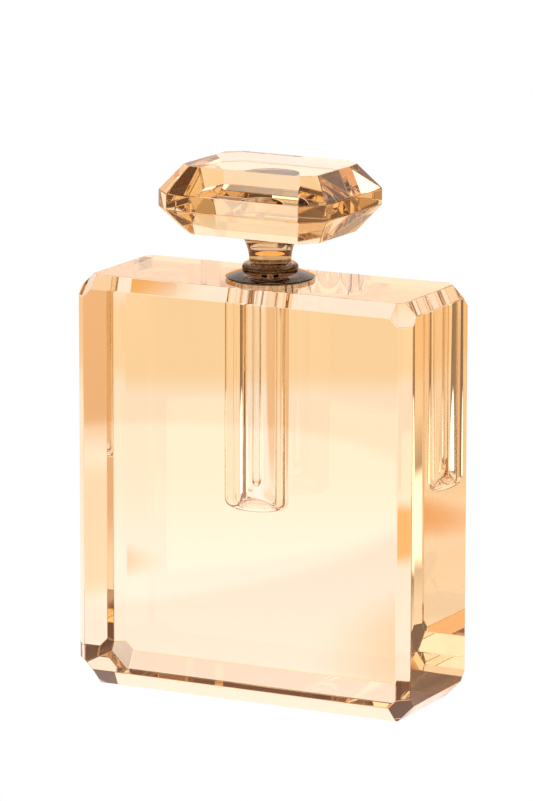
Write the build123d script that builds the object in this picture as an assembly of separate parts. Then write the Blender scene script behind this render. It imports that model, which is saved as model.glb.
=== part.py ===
"""Cut-crystal perfume flacon: a drilled amber block, and a step-cut stopper with a glass dauber rod.

Millimetres, +Z up. The origin is on the surface that the flacon stands on, under the middle of the block.
The block's wide face looks along -Y.
"""

from build123d import *
import os

# Crystal block
block_width = 88.0
block_depth = 35.0
block_height = 100.0
top_chamfer = 3.0        # leg of the chamfers round the top face
side_chamfer = 2.6       # leg of the chamfers on the four upright edges
base_chamfer = 4.2       # leg of the chamfers round the base
corner_facet_reach = 2.1     # how much deeper a corner facet cuts than the two chamfers that meet there

# Drilled reservoir
bore_offset = -0.55      # the reservoir's axis, to the left of the block's middle
bore_radius = 8.2
bore_depth = 54.3
bore_floor_radius = 2.3
mouth_bevel = 0.3

# Fits
fit_clearance = 0.03     # radial gap of a running fit
bond_thickness = 0.12    # cured adhesive

# Soft collar in the mouth
collar_wall = 0.7
collar_lip_thickness = 0.35
collar_lip_overhang = 1.7    # how far the lip reaches past the reservoir's wall
collar_length = 3.4

# Stopper stem, a turned glass piece. Each rise is the height of one band, from the seat on the collar up.
plug_length = 3.9
plug_bevel = 0.3
flange_overhang = 0.7    # how far the flange reaches past the collar's lip
flange_rise = 0.4
ring_radius = 6.6
dome_rise = 1.4
waist_radius = 5.0
ring_rise = 1.9
step_rise = 0.35
flare_radius = 6.9
waist_rise = 6.13
flare_rise = 0.75
dome_bulge = 0.1         # how far the arcs of the dome and the ring stand out from a straight slope
ring_bulge = 0.35
waist_curve = 0.25       # share of the waist's widening that is reached half way up

# Dauber rod
rod_radius = 1.75
rod_socket_depth = 5.5   # how far the rod is let into the plug
rod_tip_gap = 4.7        # between the rod's tip and the reservoir's floor
rod_tip_roundness = 0.95     # the tip's radius as a share of the rod's

# Step-cut stopper head: width, depth and corner cut of each outline, and the height of each band
table_width = 35.7
table_depth = 25.5
table_corner = 3.0
girdle_width = 45.0
girdle_depth = 37.3
girdle_corner = 4.9
culet_width = 36.0
culet_depth = 25.7
culet_corner = 3.8
pavilion_height = 6.2
girdle_height = 3.9
crown_height = 6.0
head_turn = -1.8         # degrees about the stem's axis, as the stopper was last put back

# Levels and radii that follow from the sizes above
seat_z = block_height + collar_lip_thickness
plug_end_z = seat_z - plug_length
stem_top_z = seat_z + flange_rise + dome_rise + ring_rise + step_rise + waist_rise + flare_rise
head_z = stem_top_z + bond_thickness
bore_floor_z = block_height - bore_depth
rod_tip_z = bore_floor_z + rod_tip_gap
collar_outer_radius = bore_radius - fit_clearance
collar_inner_radius = collar_outer_radius - collar_wall
collar_lip_radius = bore_radius + collar_lip_overhang
flange_radius = collar_lip_radius + flange_overhang
plug_radius = collar_inner_radius - fit_clearance
socket_radius = rod_radius + bond_thickness
socket_top_z = plug_end_z + rod_socket_depth
rod_top_z = socket_top_z - bond_thickness

stem_axis = Pos(bore_offset, 0, 0)
signs = (-1, 1)


def keep_behind(solid, point, normal):
    """Cut a flat facet: keep what lies behind the plane through point that faces along normal."""
    return split(solid, bisect_by=Plane(origin=point, z_dir=normal), keep=Keep.BOTTOM)


def level_chamfers(solid, face_z, up, leg):
    """Chamfer the four edges round the top face (up = 1) or the base (up = -1)."""
    for sign in signs:
        solid = keep_behind(solid, (sign * (block_width / 2 - leg), 0, face_z), (sign, 0, up))
        solid = keep_behind(solid, (0, sign * (block_depth / 2 - leg), face_z), (0, sign, up))
    return solid


def corner_facets(solid, face_z, up, leg):
    """Cut the four corners of one level across, a little deeper than the chamfers that meet there."""
    reach = leg + side_chamfer + corner_facet_reach
    for sign_x in signs:
        for sign_y in signs:
            point = (sign_x * (block_width / 2 - reach), sign_y * block_depth / 2, face_z)
            solid = keep_behind(solid, point, (sign_x, sign_y, up))
    return solid


def reservoir():
    """The drilled hole, with a rounded floor and a small bevel at its mouth."""
    hole = Pos(0, 0, bore_floor_z) * Cylinder(
        bore_radius, bore_depth, align=(Align.CENTER, Align.CENTER, Align.MIN)
    )
    hole = fillet(hole.edges().group_by(Axis.Z)[0], bore_floor_radius)
    bevel = Pos(0, 0, block_height - mouth_bevel) * Cone(
        bore_radius, bore_radius + mouth_bevel, mouth_bevel, align=(Align.CENTER, Align.CENTER, Align.MIN)
    )
    return stem_axis * (hole + bevel)


def bottle_block():
    """The solid crystal block with its facets and the drilled reservoir."""
    solid = Box(block_width, block_depth, block_height, align=(Align.CENTER, Align.CENTER, Align.MIN))
    for sign_x in signs:
        for sign_y in signs:
            point = (sign_x * block_width / 2, sign_y * (block_depth / 2 - side_chamfer), 0)
            solid = keep_behind(solid, point, (sign_x, sign_y, 0))
    for face_z, up, leg in ((block_height, 1, top_chamfer), (0, -1, base_chamfer)):
        solid = level_chamfers(solid, face_z, up, leg)
        solid = corner_facets(solid, face_z, up, leg)
    return solid - reservoir()


def turned(outline):
    """Turn a closed outline, drawn as radius and height, about the stem's axis."""
    face = Plane.XZ * make_face(outline)
    return stem_axis * revolve(face, Axis.Z, 360)


def mouth_collar():
    """Soft sleeve pressed in the mouth, with a thin lip that the stopper sits on."""
    points = [
        (collar_inner_radius, seat_z),
        (collar_lip_radius, seat_z),
        (collar_lip_radius, block_height),
        (collar_outer_radius, block_height),
        (collar_outer_radius, block_height - collar_length),
        (collar_inner_radius, block_height - collar_length),
    ]
    return turned(Polyline(*points, close=True))


def stem_outline():
    """Plug, domed flange, ring, waist and flare, from the plug's end up to the head."""
    rim_z = seat_z + flange_rise
    dome_z = rim_z + dome_rise
    ring_z = dome_z + ring_rise
    waist_z = ring_z + step_rise
    flare_z = stem_top_z - flare_rise
    shoulder = (ring_radius + waist_radius) / 2
    dome_middle = ((flange_radius + ring_radius) / 2, rim_z + dome_rise / 2 + dome_bulge)
    ring_middle = ((ring_radius + shoulder) / 2 + ring_bulge, dome_z + ring_rise / 2 + ring_bulge)
    waist_middle = (waist_radius + waist_curve * (flare_radius - waist_radius), (waist_z + flare_z) / 2)
    lower = Polyline(
        (0, plug_end_z),
        (plug_radius - plug_bevel, plug_end_z),
        (plug_radius, plug_end_z + plug_bevel),
        (plug_radius, seat_z),
        (flange_radius, seat_z),
        (flange_radius, rim_z),
    )
    dome = ThreePointArc((flange_radius, rim_z), dome_middle, (ring_radius, dome_z))
    ring = ThreePointArc((ring_radius, dome_z), ring_middle, (shoulder, ring_z))
    step = Line((shoulder, ring_z), (waist_radius, waist_z))
    waist = ThreePointArc((waist_radius, waist_z), waist_middle, (flare_radius, flare_z))
    upper = Polyline((flare_radius, flare_z), (flare_radius, stem_top_z), (0, stem_top_z), (0, plug_end_z))
    return lower + dome + ring + step + waist + upper


def upright(radius, low_z, high_z):
    """A round bar on the stem's axis."""
    bar = Cylinder(radius, high_z - low_z, align=(Align.CENTER, Align.CENTER, Align.MIN))
    return stem_axis * Pos(0, 0, low_z) * bar


def stopper_stem():
    """The turned stem, with the socket that the rod is bonded into."""
    return turned(stem_outline()) - upright(socket_radius, plug_end_z, socket_top_z)


def dauber_rod():
    """Glass rod with a fire-rounded tip."""
    rod = upright(rod_radius, rod_tip_z, rod_top_z)
    tip = rod.edges().group_by(Axis.Z)[0]
    return fillet(tip, rod_radius * rod_tip_roundness)


def rod_bond():
    """Adhesive that fills the socket round and above the rod."""
    return upright(socket_radius, plug_end_z, socket_top_z) - upright(rod_radius, plug_end_z, rod_top_z)


def head_bond():
    """Disc of adhesive between the stem's top and the head."""
    return upright(flare_radius, stem_top_z, head_z)


def octagon(width, depth, corner, z):
    """A rectangle with its corners cut off at 45 degrees, anticlockwise from above."""
    x = width / 2
    y = depth / 2
    points = [
        (x, corner - y),
        (x, y - corner),
        (x - corner, y),
        (corner - x, y),
        (-x, y - corner),
        (-x, corner - y),
        (corner - x, -y),
        (x - corner, -y),
    ]
    return [Vector(px, py, z) for px, py in points]


def faceted(outlines):
    """A closed solid with flat facets between each outline and the next one up."""
    faces = [Face(Wire.make_polygon(outlines[0])), Face(Wire.make_polygon(outlines[-1]))]
    for lower, upper in zip(outlines, outlines[1:]):
        for i in range(len(lower)):
            j = (i + 1) % len(lower)
            faces.append(Face(Wire.make_polygon([lower[i], lower[j], upper[j], upper[i]])))
    return Solid(Shell(faces)).fix()


def stopper_head():
    """Step-cut head: culet, pavilion, upright girdle, crown and table."""
    girdle_low = head_z + pavilion_height
    girdle_high = girdle_low + girdle_height
    head = faceted([
        octagon(culet_width, culet_depth, culet_corner, head_z),
        octagon(girdle_width, girdle_depth, girdle_corner, girdle_low),
        octagon(girdle_width, girdle_depth, girdle_corner, girdle_high),
        octagon(table_width, table_depth, table_corner, girdle_high + crown_height),
    ])
    return stem_axis * Rot(0, 0, head_turn) * head


nodes = {
    "bottle_block": bottle_block,
    "mouth_collar": mouth_collar,
    "stopper_stem": stopper_stem,
    "rod_bond": rod_bond,
    "dauber_rod": dauber_rod,
    "head_bond": head_bond,
    "stopper_head": stopper_head,
}

os.makedirs("parts", exist_ok=True)
for name, make in nodes.items():
    solid = make()
    solid.label = name
    export_step(solid, f"parts/{name}.step")
    box = solid.bounding_box()
    print(f"{name}: {len(solid.solids())} solid, {solid.volume:.1f} mm3, z {box.min.Z:.2f} to {box.max.Z:.2f}")
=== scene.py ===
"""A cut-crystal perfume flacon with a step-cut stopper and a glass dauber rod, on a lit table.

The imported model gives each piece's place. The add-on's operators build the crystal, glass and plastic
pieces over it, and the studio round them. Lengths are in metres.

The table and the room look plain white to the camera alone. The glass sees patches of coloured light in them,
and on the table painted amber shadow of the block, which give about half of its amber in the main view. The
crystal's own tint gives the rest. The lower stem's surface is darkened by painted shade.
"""

import math

import bpy
import numpy as np
from bpy.props import FloatProperty, FloatVectorProperty, PointerProperty
from bpy.types import Operator, Panel, PropertyGroup
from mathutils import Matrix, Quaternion, Vector


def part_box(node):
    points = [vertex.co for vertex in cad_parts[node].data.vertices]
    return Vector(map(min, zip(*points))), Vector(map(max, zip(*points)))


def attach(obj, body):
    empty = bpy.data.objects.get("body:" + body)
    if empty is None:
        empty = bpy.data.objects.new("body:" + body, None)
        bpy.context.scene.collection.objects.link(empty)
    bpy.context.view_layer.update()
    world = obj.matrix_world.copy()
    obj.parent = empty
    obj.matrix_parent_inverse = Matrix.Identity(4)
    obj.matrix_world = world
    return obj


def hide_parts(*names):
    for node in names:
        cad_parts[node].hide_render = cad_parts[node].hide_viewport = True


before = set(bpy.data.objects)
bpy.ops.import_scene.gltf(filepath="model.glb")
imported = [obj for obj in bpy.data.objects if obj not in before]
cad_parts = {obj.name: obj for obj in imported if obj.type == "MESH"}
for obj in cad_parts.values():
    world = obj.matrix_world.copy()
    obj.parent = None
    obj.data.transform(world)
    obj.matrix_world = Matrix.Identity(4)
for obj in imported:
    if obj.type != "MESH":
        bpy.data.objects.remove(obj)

bl_info = {
    "name": "Cut-crystal flacon",
    "version": (1, 0, 0),
    "blender": (4, 5, 0),
    "location": "3D View > Sidebar > Flacon",
    "description": "Builds a cut-crystal perfume flacon and the lit table it stands on",
    "category": "Add Mesh",
}

MM = 0.001
FLOOR_Z = -0.1 * MM     # the flacon stands on a film of air
BONDED = "bonded"       # the attribute that marks faces bonded to another piece
FACET_ANGLE = math.radians(25)      # edges sharper than this part two facets
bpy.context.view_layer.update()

# Refractive indices, and how far one mesh stands in for a smooth curve
CRYSTAL_IOR = 1.52
ROD_IOR = 1.5
PLASTIC_IOR = 1.51
AROUND = 128                        # points round a turned piece
BLOCK_STEPS = [16, 3, 56, 3] * 2    # points along each side of the block's outline
HEAD_STEPS = [20, 3, 32, 3] * 2     # points along each side of the head's outlines
BORE_RINGS = 24
ROD_RINGS = 20

# Materials: the largest haze of a polished face, and the sizes of the patterns
POLISHED_HAZE = 0.012
WIPE_MARKS = 3 * MM
ADHESIVE_CLOUDS = 4 * MM
MOULD_GRAIN = 0.8 * MM

# Shape of the turned stem: the rounding of its edges, and how far each band stands out from its chord
STEM_EDGE = 0.15 * MM
DOME_BOW = 0.1 * MM
RING_BOW = 0.45 * MM
WAIST_BOW = -0.5 * MM

TABLE_REACH = 3                     # from the middle of the table to its edges
CAMERA_WHITE = (1, 1, 1, 1)         # what the camera sees of the table and the room


# ---- Colours and sizes ----

def linear(hex_colour):
    """Linear red, green and blue of an sRGB hex colour."""
    parts = [int(hex_colour[i:i + 2], 16) / 255 for i in (1, 3, 5)]
    return tuple(p / 12.92 if p <= 0.04045 else ((p + 0.055) / 1.055) ** 2.4 for p in parts)


def length(name, description, millimetres):
    """A length property with its default in millimetres."""
    return FloatProperty(name=name, description=description, default=millimetres * MM, min=0, unit="LENGTH")


def colour(name, description, hex_colour):
    """A colour property with an sRGB hex default."""
    return FloatVectorProperty(name=name, description=description, default=linear(hex_colour),
                               subtype="COLOR", min=0, max=1)


class BlockSizes(PropertyGroup):
    """Cuts of the crystal block."""
    top_chamfer: length("Top chamfer", "Leg of the chamfers round the top face", 3.0)
    side_chamfer: length("Side chamfer", "Leg of the chamfers on the upright edges", 2.6)
    base_chamfer: length("Base chamfer", "Leg of the chamfers round the base", 4.2)
    corner_reach: length("Corner reach", "How much deeper a corner facet cuts than its chamfers", 2.1)
    bore_radius: length("Bore radius", "Radius of the drilled reservoir", 8.2)
    bore_depth: length("Bore depth", "Depth of the reservoir below the top face", 54.3)
    floor_radius: length("Floor radius", "Rounding where the reservoir's wall meets its floor", 2.3)
    mouth_bevel: length("Mouth bevel", "Bevel where the reservoir opens in the top face", 0.3)
    arris: length("Arris", "Width of the polished edge between two facets", 0.22)


class HeadSizes(PropertyGroup):
    """Outlines of the step-cut head."""
    table_width: length("Table width", "Width of the flat top", 35.7)
    table_depth: length("Table depth", "Depth of the flat top", 25.5)
    table_corner: length("Table corner", "Leg of the table's cut corners", 3.0)
    girdle_width: length("Girdle width", "Width of the upright band", 45.0)
    girdle_depth: length("Girdle depth", "Depth of the upright band", 37.3)
    girdle_corner: length("Girdle corner", "Leg of the girdle's cut corners", 4.9)
    culet_width: length("Culet width", "Width of the flat underside", 36.0)
    culet_depth: length("Culet depth", "Depth of the flat underside", 25.7)
    culet_corner: length("Culet corner", "Leg of the culet's cut corners", 3.8)
    pavilion: length("Pavilion", "Height of the facets below the girdle", 6.2)
    girdle: length("Girdle", "Height of the upright band", 3.9)
    arris: length("Arris", "Width of the polished edge between two facets", 0.2)
    turn: FloatProperty(name="Turn", description="Turn about the stem's axis", default=math.radians(-1.8),
                        subtype="ANGLE")


class StemSizes(PropertyGroup):
    """Profile of the turned stem and of the rod set in it."""
    ring_radius: length("Ring radius", "Radius of the ring above the flange", 6.6)
    waist_radius: length("Waist radius", "Radius at the waist", 5.0)
    flare_radius: length("Flare radius", "Radius of the flare under the head", 6.9)
    flange_rise: length("Flange rise", "Height of the flange's edge", 0.4)
    dome_rise: length("Dome rise", "Height of the flange's dome", 1.4)
    ring_rise: length("Ring rise", "Height of the ring", 1.9)
    step_rise: length("Step rise", "Height of the step between ring and waist", 0.35)
    flare_rise: length("Flare rise", "Height of the flare's edge", 0.75)
    plug_length: length("Plug length", "Length of the plug below the flange", 3.9)
    clearance: length("Clearance", "Gap of a running fit", 0.03)
    collar_wall: length("Collar wall", "Wall of the soft collar between plug and block", 0.7)
    bond: length("Bond", "Thickness of the cured adhesive", 0.12)


class FlaconColours(PropertyGroup):
    """Tints of the materials, and the painted shade of the lower stem. A tint is what white light keeps over
    10 mm.
    """
    block_tint: colour("Block tint", "Colour of light after 10 mm of the block's crystal", "#FEFBF6")
    head_tint: colour("Head tint", "Colour of light after 10 mm of the head's crystal", "#FEFAF3")
    stem_tint: colour("Stem tint", "Colour of light after 10 mm of the stem's glass", "#D8BFA0")
    # painted shade: the colour that the lower stem's surface is darkened to
    stem_painted_shade: colour("Stem smoke", "What the lower stem's surface keeps of the light", "#8E8B88")
    rod_tint: colour("Rod tint", "Colour of light after 10 mm of the rod's glass", "#FBFCFA")
    collar_tint: colour("Collar tint", "Colour of the soft collar", "#F6F1EA")
    disc_thin: colour("Disc, thin", "Colour of the adhesive under the head where it is thin", "#EFE8DF")
    disc_thick: colour("Disc, thick", "Colour of the adhesive under the head where it is thick", "#CDBCA8")
    cup_thin: colour("Cup, thin", "Colour of the adhesive round the rod where it is thin", "#FBF8F4")
    cup_thick: colour("Cup, thick", "Colour of the adhesive round the rod where it is thick", "#E9E1D6")


class StudioSettings(PropertyGroup):
    """Camera: where it stands, where it aims and its lens."""
    azimuth: FloatProperty(name="Azimuth", description="Camera's angle to the right of the wide face",
                           default=math.radians(27.11), subtype="ANGLE")
    elevation: FloatProperty(name="Elevation", description="Camera's angle above the horizon",
                             default=math.radians(11.89), subtype="ANGLE")
    roll: FloatProperty(name="Roll", description="Camera's turn about its own line of sight",
                        default=math.radians(0.09), subtype="ANGLE")
    distance: FloatProperty(name="Distance", description="From the camera to its aim", default=1.3213,
                            unit="LENGTH")
    lens: FloatProperty(name="Lens", description="Focal length in millimetres", default=250.5)
    aim_x: length("Aim across", "How far to the left of the middle the camera aims", 1.49)
    aim_height: length("Aim height", "Height that the camera aims at", 70.47)


# ---- Materials ----

def add(tree, kind, values=None, links=None, **settings):
    """Add a node, set its attributes, its input values and the links into it."""
    node = tree.nodes.new(kind)
    for key, value in settings.items():
        setattr(node, key, value)
    for key, value in (values or {}).items():
        node.inputs[key].default_value = value
    for key, socket in (links or {}).items():
        tree.links.new(socket, node.inputs[key])
    return node


def new_material(name):
    """An empty node material and its output node."""
    material = bpy.data.materials.new(name)
    material.use_nodes = True
    material.node_tree.nodes.clear()
    return material, add(material.node_tree, "ShaderNodeOutputMaterial")


def absorption(tree, out, tint):
    """Absorption that leaves the tint after 10 mm: density times (1 - colour) is the loss per metre."""
    loss = [-math.log(max(part, 1e-4)) / (10 * MM) for part in tint]
    density = max(loss)
    kept = [1 - part / density for part in loss]
    node = add(tree, "ShaderNodeVolumeAbsorption", {"Color": (*kept, 1), "Density": density})
    tree.links.new(node.outputs[0], out.inputs["Volume"])


def crystal(name, tint, ior, wave, lap, joined=False, painted_shade=None):
    """Cut and polished crystal: clear, coloured by its depth, with faint waves from hand lapping.

    A joined piece has faces bonded to another piece of the same index, marked by its attribute. Light
    passes them unbent and unreflected, so they are not seen. A piece can be given painted shade low down: the
    argument for it is the shade's colour, the height up to which it is full and the height where it has faded
    out.
    """
    material, out = new_material(name)
    tree = material.node_tree
    place = add(tree, "ShaderNodeTexCoord").outputs["Object"]
    waves = add(tree, "ShaderNodeTexNoise", {"Scale": 1 / wave, "Detail": 1.0}, {"Vector": place})
    bump = add(tree, "ShaderNodeBump", {"Strength": 1.0, "Distance": lap}, {"Height": waves.outputs[0]})
    wipe = add(tree, "ShaderNodeTexNoise", {"Scale": 1 / WIPE_MARKS, "Detail": 3.0}, {"Vector": place})
    haze = add(tree, "ShaderNodeMapRange", {"To Min": 0.0, "To Max": POLISHED_HAZE},
               {"Value": wipe.outputs[0]})
    surface = add(tree, "ShaderNodeBsdfPrincipled",
                  {"Base Color": (1, 1, 1, 1), "IOR": ior, "Transmission Weight": 1.0},
                  {"Normal": bump.outputs[0], "Roughness": haze.outputs[0]})
    # painted shade: the surface darkens to the given colour towards the bottom, fully below the first height
    # and not at all above the second
    if painted_shade is not None:
        shade, full, gone = painted_shade
        height = add(tree, "ShaderNodeSeparateXYZ", None, {"Vector": place}).outputs["Z"]
        rise = add(tree, "ShaderNodeMapRange", {"From Min": full, "From Max": gone}, {"Value": height})
        painted_shade_mix = add(tree, "ShaderNodeMixRGB", {"Color1": (*shade, 1), "Color2": (1, 1, 1, 1)},
                   {"Fac": rise.outputs[0]})
        tree.links.new(painted_shade_mix.outputs[0], surface.inputs["Base Color"])
    if joined:
        mark = add(tree, "ShaderNodeAttribute", attribute_name=BONDED).outputs["Fac"]
        clear = add(tree, "ShaderNodeBsdfTransparent")
        surface = add(tree, "ShaderNodeMixShader", None,
                      {0: mark, 1: surface.outputs[0], 2: clear.outputs[0]})
    tree.links.new(surface.outputs[0], out.inputs["Surface"])
    absorption(tree, out, tint)
    return material


def cured_adhesive(name, thin, thick):
    """Cured adhesive between two glasses: a faint tea-coloured film, with clouds of a deeper colour."""
    material, out = new_material(name)
    tree = material.node_tree
    place = add(tree, "ShaderNodeTexCoord").outputs["Object"]
    film = add(tree, "ShaderNodeTexNoise", {"Scale": 1 / ADHESIVE_CLOUDS, "Detail": 2.0}, {"Vector": place})
    shade = add(tree, "ShaderNodeMixRGB", {"Color1": (*thin, 1), "Color2": (*thick, 1)},
                {"Fac": film.outputs[0]})
    surface = add(tree, "ShaderNodeBsdfTransparent", None, {"Color": shade.outputs[0]})
    tree.links.new(surface.outputs[0], out.inputs["Surface"])
    return material


def soft_plastic(name, tint):
    """Moulded clear polyethylene: milky, with a soft waxy gloss."""
    material, out = new_material(name)
    tree = material.node_tree
    place = add(tree, "ShaderNodeTexCoord").outputs["Object"]
    grain = add(tree, "ShaderNodeTexNoise", {"Scale": 1 / MOULD_GRAIN, "Detail": 2.0}, {"Vector": place})
    rough = add(tree, "ShaderNodeMapRange", {"To Min": 0.12, "To Max": 0.25}, {"Value": grain.outputs[0]})
    surface = add(tree, "ShaderNodeBsdfPrincipled",
                  {"Base Color": (*tint, 1), "IOR": PLASTIC_IOR, "Transmission Weight": 0.92},
                  {"Roughness": rough.outputs[0]})
    tree.links.new(surface.outputs[0], out.inputs["Surface"])
    return material


# ---- Surfaces ----

def joined_rings(rings):
    """Vertices and faces of a closed skin over a stack of rings, with a point at the middle of each end."""
    levels, around = rings.shape[:2]
    ends = rings[[0, -1]].mean(axis=1)
    points = np.concatenate([rings.reshape(-1, 3), ends])
    grid = np.arange(levels * around).reshape(levels, around)
    nxt = np.roll(grid, -1, axis=1)
    walls = np.stack([grid[:-1], nxt[:-1], nxt[1:], grid[1:]], axis=-1).reshape(-1, 4)
    first, last = levels * around, levels * around + 1
    start = np.stack([np.full(around, first), nxt[0], grid[0]], axis=-1)
    end = np.stack([np.full(around, last), grid[-1], nxt[-1]], axis=-1)
    return points, walls, start, end


def new_piece(name, points, face_sets, bonded=None):
    """A mesh object from points and arrays of faces, smooth but for the edges between facets.

    bonded is 1 for each face that is bonded to another piece, and 0 for the rest.
    """
    faces = [tuple(face) for rows in face_sets for face in rows.tolist()]
    mesh = bpy.data.meshes.new(name)
    mesh.from_pydata(points.tolist(), [], faces)
    mesh.polygons.foreach_set("use_smooth", np.ones(len(faces), bool))
    if bonded is not None:
        mesh.attributes.new(BONDED, "FLOAT", "FACE").data.foreach_set("value", bonded.astype(np.float32))
    mesh.validate()
    mesh.set_sharp_from_angle(angle=FACET_ANGLE)
    mesh.update()
    piece = bpy.data.objects.new(name, mesh)
    bpy.context.scene.collection.objects.link(piece)
    return piece


def soften_edges(piece, width):
    """Give the edges between facets the narrow polished arris that they have."""
    bevel = piece.modifiers.new("arris", "BEVEL")
    bevel.width = width
    bevel.segments = 2
    bevel.limit_method = "ANGLE"
    bevel.angle_limit = FACET_ANGLE
    bevel.harden_normals = True
    bevel.use_clamp_overlap = True


def settle(piece, body, node, material):
    """Give a piece its material, its body and the CAD node that it stands for."""
    piece.data.materials.append(material)
    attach(piece, body)
    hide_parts(node)


def octagon(width, depth, corner, z):
    """Corners of a rectangle whose corners are cut off at 45 degrees, anticlockwise from above."""
    x, y = width / 2, depth / 2
    flat = [(x, corner - y), (x, y - corner), (x - corner, y), (corner - x, y),
            (-x, y - corner), (-x, corner - y), (corner - x, -y), (x - corner, -y)]
    return np.array([(px, py, z) for px, py in flat])


def side_shares(corners, centre, steps):
    """Shares of each side where lines of evenly spaced angle from the centre cross it.

    A line of direction d crosses the side from a to b at the share cross(d, centre - a) / cross(d, b - a).
    """
    shares, sides = [], []
    for j, count in enumerate(steps):
        a = corners[j, :2] - centre
        b = corners[(j + 1) % 8, :2] - centre
        start = math.atan2(a[1], a[0])
        sweep = (math.atan2(b[1], b[0]) - start) % (2 * math.pi)
        angles = start + sweep * np.arange(count) / count
        d = np.stack([np.cos(angles), np.sin(angles)], axis=-1)
        along = b - a
        shares.append((d[:, 1] * a[0] - d[:, 0] * a[1]) / (d[:, 0] * along[1] - d[:, 1] * along[0]))
        sides.append(np.full(count, j))
    return np.concatenate(shares), np.concatenate(sides)


def octagon_ring(corners, shares, sides):
    """Points at the given shares of an octagon's sides: corner plus share times the step to the next."""
    step = np.roll(corners, -1, axis=0) - corners
    return corners[sides] + shares[:, None] * step[sides]


def circles(profile, centre, angles):
    """Rings of a turned shape: each radius and height of the profile, carried round the centre."""
    r, z = np.asarray(profile, float).T
    x = centre[0] + r[:, None] * np.cos(angles)
    y = centre[1] + r[:, None] * np.sin(angles)
    return np.stack([x, y, np.broadcast_to(z[:, None], x.shape)], axis=-1)


def rounded(centre, radius, start, end, steps):
    """Points of a circular arc in radius and height, from one angle in degrees to another."""
    t = np.radians(np.linspace(start, end, steps))
    return list(zip(centre[0] + radius * np.cos(t), centre[1] + radius * np.sin(t)))


def bowed(start, end, bow, steps):
    """Points from start to end that stand out to the right: the chord plus 4 bow t (1 - t) square to it."""
    a, b = np.array(start), np.array(end)
    t = np.linspace(0, 1, steps)[:, None]
    along = b - a
    square = np.array([along[1], -along[0]]) / np.hypot(*along)
    return [tuple(p) for p in a + t * along + 4 * bow * t * (1 - t) * square]


def axis_of(node):
    """The upright axis of a turned CAD node, as x and y."""
    low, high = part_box(node)
    return np.array([(low.x + high.x) / 2, (low.y + high.y) / 2])


def radius_of(node):
    """Outer radius of a turned CAD node."""
    low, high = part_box(node)
    return (high.x - low.x) / 2


FULL_TURN = np.linspace(0, 2 * math.pi, AROUND, endpoint=False)


def block_rings(s):
    """Rings of the crystal block: base, chamfers, walls, top face, and down the reservoir."""
    low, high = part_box("bottle_block")
    width, depth = high.x - low.x, high.y - low.y
    centre = axis_of("dauber_rod")

    def level(z, inset, corner):
        return octagon(width - 2 * inset, depth - 2 * inset, corner, z)

    def end_levels(z, up, leg):
        flat = level(z, leg, s.side_chamfer + s.corner_reach - leg)
        shoulder = level(z - up * leg, 0, s.side_chamfer + s.corner_reach)
        meet = level(z - up * (leg + s.corner_reach), 0, s.side_chamfer)
        return [flat, shoulder, meet]

    base = end_levels(low.z, -1, s.base_chamfer)
    top = end_levels(high.z, 1, s.top_chamfer)
    shares, sides = side_shares(top[0], centre, BLOCK_STEPS)
    outside = [octagon_ring(corners, shares, sides) for corners in base + top[::-1]]
    spokes = outside[-1][:, :2] - centre
    angles = np.arctan2(spokes[:, 1], spokes[:, 0])
    floor_z = high.z - s.bore_depth
    profile = [(s.bore_radius + s.mouth_bevel, high.z), (s.bore_radius, high.z - s.mouth_bevel)]
    heights = np.linspace(high.z - s.mouth_bevel, floor_z + s.floor_radius, BORE_RINGS)[1:-1]
    profile += [(s.bore_radius, z) for z in heights]
    profile += rounded((s.bore_radius - s.floor_radius, floor_z + s.floor_radius), s.floor_radius, 0, -90, 12)
    profile += [(s.bore_radius * share, floor_z) for share in (0.5, 0.25)]
    return np.concatenate([np.stack(outside), circles(profile, centre, angles)])


def head_rings(s, disc_radius):
    """Rings of the step-cut head, from the bonded disc under it to the table, turned about the stem."""
    low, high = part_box("stopper_head")
    centre = axis_of("stopper_stem")
    levels = [
        octagon(s.culet_width, s.culet_depth, s.culet_corner, low.z),
        octagon(s.girdle_width, s.girdle_depth, s.girdle_corner, low.z + s.pavilion),
        octagon(s.girdle_width, s.girdle_depth, s.girdle_corner, low.z + s.pavilion + s.girdle),
        octagon(s.table_width, s.table_depth, s.table_corner, high.z),
    ]
    shares, sides = side_shares(levels[0], np.zeros(2), HEAD_STEPS)
    outside = np.stack([octagon_ring(corners, shares, sides) for corners in levels])
    angles = np.arctan2(outside[0, :, 1], outside[0, :, 0])
    disc = circles([(disc_radius / 2, low.z), (disc_radius, low.z)], (0, 0), angles)
    rings = np.concatenate([disc, outside])
    cos, sin = math.cos(s.turn), math.sin(s.turn)
    x = centre[0] + rings[..., 0] * cos - rings[..., 1] * sin
    y = centre[1] + rings[..., 0] * sin + rings[..., 1] * cos
    return np.stack([x, y, rings[..., 2]], axis=-1)


def stem_profile(s, plug_radius):
    """Radius and height from the socket's end, round the plug, flange, ring and waist, to the bonded top."""
    low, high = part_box("stopper_stem")
    flange = radius_of("stopper_stem")
    seat = low.z + s.plug_length
    socket = radius_of("rod_bond")
    socket_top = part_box("rod_bond")[1].z
    rim = seat + s.flange_rise
    dome = rim + s.dome_rise
    ring = dome + s.ring_rise
    waist = ring + s.step_rise
    flare = high.z - s.flare_rise
    shoulder = (s.ring_radius + s.waist_radius) / 2
    edge = STEM_EDGE
    points = [(socket / 2, socket_top), (socket, socket_top), (socket, low.z)]
    points += [(plug_radius - 2 * edge, low.z), (plug_radius, low.z + 2 * edge), (plug_radius, seat)]
    points += rounded((flange - edge, seat + edge), edge, -90, 0, 5)
    points += bowed((flange, rim), (s.ring_radius, dome), DOME_BOW, 12)
    points += bowed((s.ring_radius, dome), (shoulder, ring), RING_BOW, 14)[1:]
    points += bowed((s.waist_radius, waist), (s.flare_radius, flare), WAIST_BOW, 24)
    points += rounded((s.flare_radius - edge, high.z - edge), edge, 0, 90, 5)
    return points + [((s.flare_radius - edge) / 2, high.z)]


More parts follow.
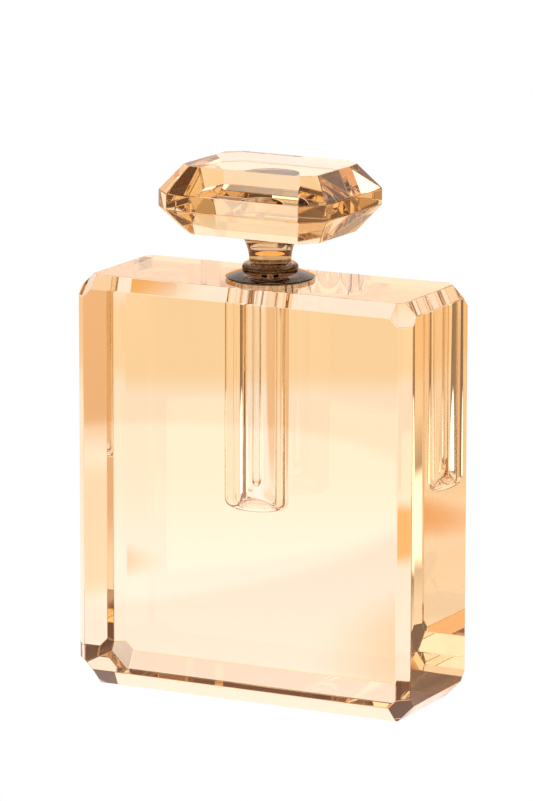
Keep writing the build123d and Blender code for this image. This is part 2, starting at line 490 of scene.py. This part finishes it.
def turned_piece(name, profile, node, rule=None):
    """A turned piece. The rule says from a face's middle, its radius and height, whether it is bonded."""
    centre = axis_of(node)
    rings = circles(profile, centre, FULL_TURN)
    points, walls, start, end = joined_rings(rings)
    bonded = None
    if rule is not None:
        groups = (walls, start, end)
        middles = [points[group].mean(axis=1) for group in groups]
        bonded = np.concatenate([
            rule(np.hypot(m[:, 0] - centre[0], m[:, 1] - centre[1]), m[:, 2]) for m in middles
        ])
    return new_piece(name, points, (walls, start, end), bonded)


# ---- Operators ----

class FLACON_OT_block(Operator):
    """Build the drilled crystal block"""
    bl_idname = "flacon.block"
    bl_label = "Crystal block"

    def execute(self, context):
        s, c = context.scene.flacon_block, context.scene.flacon_colours
        points, walls, start, end = joined_rings(block_rings(s))
        piece = new_piece("crystal_block", points, (walls, start, end))
        soften_edges(piece, s.arris)
        material = crystal("amber_crystal_block", c.block_tint, CRYSTAL_IOR, wave=22 * MM, lap=0.01 * MM)
        settle(piece, "bottle", "bottle_block", material)
        return {"FINISHED"}


class FLACON_OT_head(Operator):
    """Build the step-cut head"""
    bl_idname = "flacon.head"
    bl_label = "Step-cut head"

    def execute(self, context):
        s, c = context.scene.flacon_head, context.scene.flacon_colours
        disc = context.scene.flacon_stem.flare_radius
        points, walls, start, end = joined_rings(head_rings(s, disc))
        bonded = np.zeros(len(walls) + len(start) + len(end))
        bonded[:len(start)] = 1
        bonded[len(walls):len(walls) + len(start)] = 1
        piece = new_piece("step_cut_head", points, (walls, start, end), bonded)
        soften_edges(piece, s.arris)
        material = crystal("amber_crystal_head", c.head_tint, CRYSTAL_IOR, wave=16 * MM, lap=0.0015 * MM,
                           joined=True)
        settle(piece, "stopper", "stopper_head", material)
        return {"FINISHED"}


class FLACON_OT_stem(Operator):
    """Build the turned stem with its plug"""
    bl_idname = "flacon.stem"
    bl_label = "Stem"

    def execute(self, context):
        s, c = context.scene.flacon_stem, context.scene.flacon_colours
        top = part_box("stopper_stem")[1].z
        socket_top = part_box("rod_bond")[1].z
        socket = radius_of("rod_bond")
        plug_radius = context.scene.flacon_block.bore_radius - 2 * s.clearance - s.collar_wall
        slack = 0.01 * MM

        def rule(radius, height):
            in_socket = (radius < socket + slack) & (height < socket_top + slack)
            return (height > top - slack) | in_socket

        # painted shade on the lower stem: full below the middle of the ring, gone a ring's height above its
        # top
        ring_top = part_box("bottle_block")[1].z + s.flange_rise + s.dome_rise + s.ring_rise
        painted_shade = (c.stem_painted_shade, ring_top - s.ring_rise / 2, ring_top + s.ring_rise)
        piece = turned_piece("turned_stem", stem_profile(s, plug_radius), "stopper_stem", rule)
        material = crystal("turned_glass_with_painted_shade", c.stem_tint, CRYSTAL_IOR, wave=9 * MM, lap=0.004 * MM,
                           joined=True, painted_shade=painted_shade)
        settle(piece, "stopper", "stopper_stem", material)
        return {"FINISHED"}


class FLACON_OT_rod(Operator):
    """Build the dauber rod"""
    bl_idname = "flacon.rod"
    bl_label = "Dauber rod"

    def execute(self, context):
        c = context.scene.flacon_colours
        low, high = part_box("dauber_rod")
        radius = radius_of("dauber_rod")
        plug_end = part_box("stopper_stem")[0].z
        profile = rounded((0, low.z + radius), radius, -80, 0, 10)
        profile += [(radius, z) for z in np.linspace(low.z + radius, plug_end, ROD_RINGS)[1:]]
        profile += [(radius, high.z), (radius / 2, high.z)]

        def rule(radius, height):
            return height > plug_end

        piece = turned_piece("glass_dauber_rod", profile, "dauber_rod", rule)
        material = crystal("clear_drawn_glass", c.rod_tint, ROD_IOR, wave=12 * MM, lap=0.004 * MM,
                           joined=True)
        settle(piece, "stopper", "dauber_rod", material)
        return {"FINISHED"}


class FLACON_OT_collar(Operator):
    """Build the soft collar in the mouth"""
    bl_idname = "flacon.collar"
    bl_label = "Soft collar"

    def execute(self, context):
        low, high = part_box("mouth_collar")
        block = context.scene.flacon_block
        stem = context.scene.flacon_stem
        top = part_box("bottle_block")[1].z
        outer = block.bore_radius - stem.clearance
        inner = outer - stem.collar_wall
        lip = (high.x - low.x) / 2
        edge = (high.z - top) / 2
        profile = [(inner, high.z), (inner, low.z), (outer, low.z), (outer, top)]
        profile += rounded((lip - edge, top + edge), edge, -90, 90, 9)
        rings = circles(profile, axis_of("mouth_collar"), FULL_TURN)
        grid = np.arange(rings.shape[0] * rings.shape[1]).reshape(rings.shape[:2])
        up, right = np.roll(grid, -1, axis=0), np.roll(grid, -1, axis=1)
        across = np.roll(up, -1, axis=1)
        walls = np.stack([grid, right, across, up], axis=-1).reshape(-1, 4)
        piece = new_piece("soft_mouth_collar", rings.reshape(-1, 3), (walls,))
        material = soft_plastic("clear_polyethylene", context.scene.flacon_colours.collar_tint)
        settle(piece, "collar", "mouth_collar", material)
        return {"FINISHED"}


class FLACON_OT_bonds(Operator):
    """Build the cured adhesive under the head and round the rod"""
    bl_idname = "flacon.bonds"
    bl_label = "Adhesive"

    def execute(self, context):
        s, c = context.scene.flacon_stem, context.scene.flacon_colours
        low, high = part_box("head_bond")
        radius = s.flare_radius - STEM_EDGE
        profile = [(radius, low.z), (radius, high.z)]
        disc = turned_piece("head_adhesive_disc", profile, "head_bond")
        settle(disc, "stopper", "head_bond",
               cured_adhesive("cured_adhesive_disc", c.disc_thin, c.disc_thick))
        low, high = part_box("rod_bond")
        inner, outer = radius_of("dauber_rod"), radius_of("rod_bond")
        rod_top = high.z - s.bond
        profile = [(inner / 2, rod_top), (inner, rod_top), (inner, low.z), (outer, low.z),
                   (outer, high.z), (outer / 2, high.z)]
        cup = turned_piece("rod_adhesive_cup", profile, "rod_bond")
        settle(cup, "stopper", "rod_bond",
               cured_adhesive("cured_adhesive_cup", c.cup_thin, c.cup_thick))
        return {"FINISHED"}


def patched(tree, place, base, patches):
    """A colour by place: the base colour, covered by oval patches with soft edges.

    A patch covers where the length of (place - centre) * squeeze is under 1, and fades out by 1 + soft.
    """
    result = add(tree, "ShaderNodeRGB").outputs[0]
    result.default_value = (*base, 1)
    for centre, reach, soft, tint in patches:
        squeeze = [1 / r for r in reach]
        shift = [-c * q for c, q in zip(centre, squeeze)]
        moved = add(tree, "ShaderNodeVectorMath", {1: squeeze, 2: shift}, {0: place},
                    operation="MULTIPLY_ADD")
        gap = add(tree, "ShaderNodeVectorMath", None, {0: moved.outputs[0]}, operation="LENGTH")
        cover = add(tree, "ShaderNodeMapRange", {"From Min": 1 + soft, "From Max": 1.0},
                    {"Value": gap.outputs["Value"]}, interpolation_type="SMOOTHSTEP")
        mix = add(tree, "ShaderNodeMixRGB", {"Color2": (*tint, 1)},
                  {"Fac": cover.outputs[0], "Color1": result})
        result = mix.outputs[0]
    return result


def towards(azimuth, elevation):
    """Unit vector at an azimuth from +Y towards +X and an elevation, in degrees."""
    a, e = math.radians(azimuth), math.radians(elevation)
    return (math.sin(a) * math.cos(e), math.cos(a) * math.cos(e), math.sin(e))


# What the glass sees. A patch is its centre, its reach along x, y and z, the softness of its edge as a share
# of its reach, and its colour, which may be brighter than white. A later patch covers an earlier one. They
# are set for the main camera's view, and stand in for surroundings that aren't modelled, but for the amber
# patches on the table, which are painted shadow of the amber block.
ROOM = (0.14, 0.06, 0.03)
ROOM_PATCHES = (
    # a warm patch high on the right
    (towards(110, 39), (0.25, 0.25, 0.25), 0.4, (0.85, 0.5, 0.2)),
    # an orange band along the horizon behind, and a pale panel above it
    (towards(-26, 3), (0.50, 0.50, 0.075), 0.2, (2.1, 0.88, 0.28)),
    (towards(-28, 22), (0.75, 0.75, 0.20), 0.2, (1.22, 1.03, 0.90)),
    # a bright patch overhead
    ((-0.1, 0.42, 0.85), (0.50, 0.40, 0.30), 0.3, (1.55, 1.4, 1.3)),
    # all that lies below the horizon, past the table's edges
    ((0, 0, -1), (1.4, 1.4, 1.02), 0.02, (1.0, 0.78, 0.52)),
)
TABLE = (1.08, 0.79, 0.48)
TABLE_PATCHES = (
    # a pale strip far behind, a pale round about the flacon, and a paler one close behind it
    ((-0.25, 0.62, FLOOR_Z), (0.30, 0.15, 1), 0.2, (1.10, 0.90, 0.70)),
    ((0, 0, FLOOR_Z), (0.35, 0.35, 1), 0.12, (1.10, 0.92, 0.73)),
    ((-0.03, 0.05, FLOOR_Z), (0.06, 0.06, 1), 2.5, (1.15, 1.02, 0.93)),
    # painted amber shadow of the block behind on the right, and a dark patch past it
    ((0.25, 0.45, FLOOR_Z), (0.20, 0.25, 1), 0.3, (0.95, 0.56, 0.28)),
    ((0.65, 0.36, FLOOR_Z), (0.22, 0.22, 1), 0.2, (0.35, 0.20, 0.14)),
    # painted amber shadows of the block: pale close behind on the right, small and deep on the left, and in
    # front on the right
    ((0.06, 0.11, FLOOR_Z), (0.055, 0.08, 1), 0.5, (1.05, 0.78, 0.52)),
    ((-0.133, 0.105, FLOOR_Z), (0.03, 0.02, 1), 0.8, (1.0, 0.5, 0.14)),
    ((0.22, -0.20, FLOOR_Z), (0.16, 0.15, 1), 0.4, (0.88, 0.56, 0.33)),
    # a dark strip in front, and a bright patch between it and the flacon on the left
    ((-0.10, -0.56, FLOOR_Z), (0.25, 0.46, 1), 0.15, (0.18, 0.10, 0.06)),
    ((-0.135, -0.18, FLOOR_Z), (0.085, 0.11, 1), 0.15, (2.1, 2.0, 1.9)),
    # right under the block
    ((0, 0, FLOOR_Z), (0.045, 0.018, 1), 0.5, (1.35, 1.2, 1.15)),
)


def lit_backdrop(scene):
    """A dim warm room with patches of light, seen by the glass. The camera itself sees plain white."""
    world = bpy.data.worlds.new("dim_room")
    world.use_nodes = True
    scene.world = world
    tree = world.node_tree
    tree.nodes.clear()
    out = add(tree, "ShaderNodeOutputWorld")
    sight = add(tree, "ShaderNodeLightPath").outputs["Is Camera Ray"]
    room = patched(tree, add(tree, "ShaderNodeTexCoord").outputs["Generated"], ROOM, ROOM_PATCHES)
    room = add(tree, "ShaderNodeBackground", None, {"Color": room})
    clear = add(tree, "ShaderNodeBackground", {"Color": CAMERA_WHITE})
    mix = add(tree, "ShaderNodeMixShader", None, {0: sight, 1: room.outputs[0], 2: clear.outputs[0]})
    tree.links.new(mix.outputs[0], out.inputs["Surface"])


def lit_table():
    """A glowing table top with patches of light and of painted amber shadow, seen by the glass. The camera
    itself sees plain white.
    """
    corners = [(-1, -1), (1, -1), (1, 1), (-1, 1)]
    points = np.array([(TABLE_REACH * x, TABLE_REACH * y, FLOOR_Z) for x, y in corners], float)
    floor = new_piece("floor", points, (np.array([[0, 1, 2, 3]]),))
    material, out = new_material("lit_white_table")
    tree = material.node_tree
    sight = add(tree, "ShaderNodeLightPath").outputs["Is Camera Ray"]
    tint = patched(tree, add(tree, "ShaderNodeTexCoord").outputs["Object"], TABLE, TABLE_PATCHES)
    glow = add(tree, "ShaderNodeEmission", None, {"Color": tint})
    clear = add(tree, "ShaderNodeEmission", {"Color": CAMERA_WHITE})
    mix = add(tree, "ShaderNodeMixShader", None, {0: sight, 1: glow.outputs[0], 2: clear.outputs[0]})
    tree.links.new(mix.outputs[0], out.inputs["Surface"])
    floor.data.materials.append(material)


def studio_camera(scene, s):
    """The camera, at its azimuth, elevation and distance from the point that it aims at."""
    across, up = math.cos(s.elevation), math.sin(s.elevation)
    back = Vector((math.sin(s.azimuth) * across, -math.cos(s.azimuth) * across, up))
    data = bpy.data.cameras.new("camera")
    data.lens = s.lens
    data.clip_end = 20
    camera = bpy.data.objects.new("camera", data)
    camera.location = Vector((-s.aim_x, 0, s.aim_height)) + back * s.distance
    camera.rotation_mode = "QUATERNION"
    camera.rotation_quaternion = (-back).to_track_quat("-Z", "Y") @ Quaternion((0, 0, 1), s.roll)
    scene.collection.objects.link(camera)
    scene.camera = camera


class FLACON_OT_studio(Operator):
    """Build the glowing table, the room and the camera"""
    bl_idname = "flacon.studio"
    bl_label = "Studio"

    def execute(self, context):
        scene = context.scene
        studio_camera(scene, scene.flacon_studio)
        lit_table()
        lit_backdrop(scene)
        scene.view_settings.view_transform = "Standard"
        scene.cycles.max_bounces = 32
        scene.cycles.transmission_bounces = 32
        scene.cycles.glossy_bounces = 16
        scene.cycles.transparent_max_bounces = 32
        return {"FINISHED"}


class FLACON_PT_panel(Panel):
    """Lists the flacon's operators"""
    bl_label = "Flacon"
    bl_idname = "FLACON_PT_panel"
    bl_space_type = "VIEW_3D"
    bl_region_type = "UI"
    bl_category = "Flacon"

    def draw(self, context):
        for step in STEPS:
            self.layout.operator(step.bl_idname)


STEPS = (FLACON_OT_studio, FLACON_OT_block, FLACON_OT_head, FLACON_OT_stem, FLACON_OT_rod,
         FLACON_OT_collar, FLACON_OT_bonds)
GROUPS = {"flacon_block": BlockSizes, "flacon_head": HeadSizes, "flacon_stem": StemSizes,
          "flacon_colours": FlaconColours, "flacon_studio": StudioSettings}


def register():
    """Register the classes and hang the property groups on the scene."""
    for cls in (*GROUPS.values(), *STEPS, FLACON_PT_panel):
        bpy.utils.register_class(cls)
    for name, cls in GROUPS.items():
        setattr(bpy.types.Scene, name, PointerProperty(type=cls))


def unregister():
    """Undo register."""
    for name in GROUPS:
        delattr(bpy.types.Scene, name)
    for cls in (FLACON_PT_panel, *STEPS[::-1], *GROUPS.values()):
        bpy.utils.unregister_class(cls)


def main():
    """Build everything."""
    register()
    bpy.ops.flacon.studio()
    bpy.ops.flacon.block()
    bpy.ops.flacon.head()
    bpy.ops.flacon.stem()
    bpy.ops.flacon.rod()
    bpy.ops.flacon.collar()
    bpy.ops.flacon.bonds()


if __name__ == "__main__":
    main()
